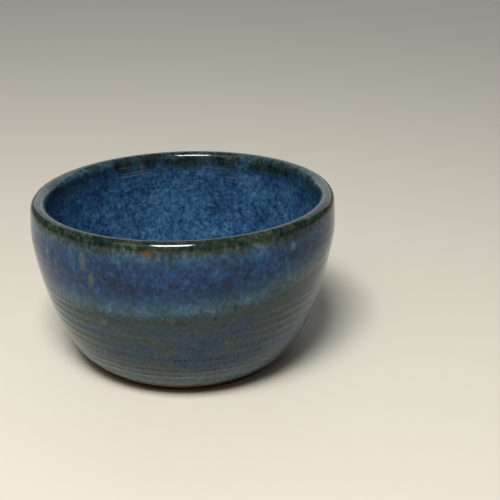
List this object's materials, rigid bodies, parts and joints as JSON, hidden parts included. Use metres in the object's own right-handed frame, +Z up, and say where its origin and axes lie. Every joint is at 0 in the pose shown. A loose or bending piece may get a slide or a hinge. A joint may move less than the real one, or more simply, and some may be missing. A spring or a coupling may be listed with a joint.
{
  "type": "shaving bowl",
  "caption": "Deep round glazed stoneware bowl with a thick rounded lip and a trimmed foot ring, for whipping shaving soap to lather with a brush.",
  "frame": {"origin": "centre of the foot ring's standing face, on the bowl's axis, where the bowl meets the table", "axes": "+Z up along the bowl's turning axis; the bowl is the same all round, so X and Y are free, and -Y faces the viewer"},
  "size_m": [0.1098, 0.1098, 0.0612],
  "materials": {
    "stoneware": "bare fired brown clay, matte, trimmed on the wheel",
    "liner_glaze": "glossy mottled cobalt blue glaze",
    "upper_glaze": "glossy mottled blue glaze that breaks green-brown over the lip",
    "lower_glaze": "glossy thin slate glaze that shows the throwing rings"
  },
  "bodies": {
    "root": {"stoneware_body": "stoneware", "liner_glaze_coat": "liner_glaze", "upper_glaze_coat": "upper_glaze", "lower_glaze_coat": "lower_glaze"}
  },
  "joints": []
}
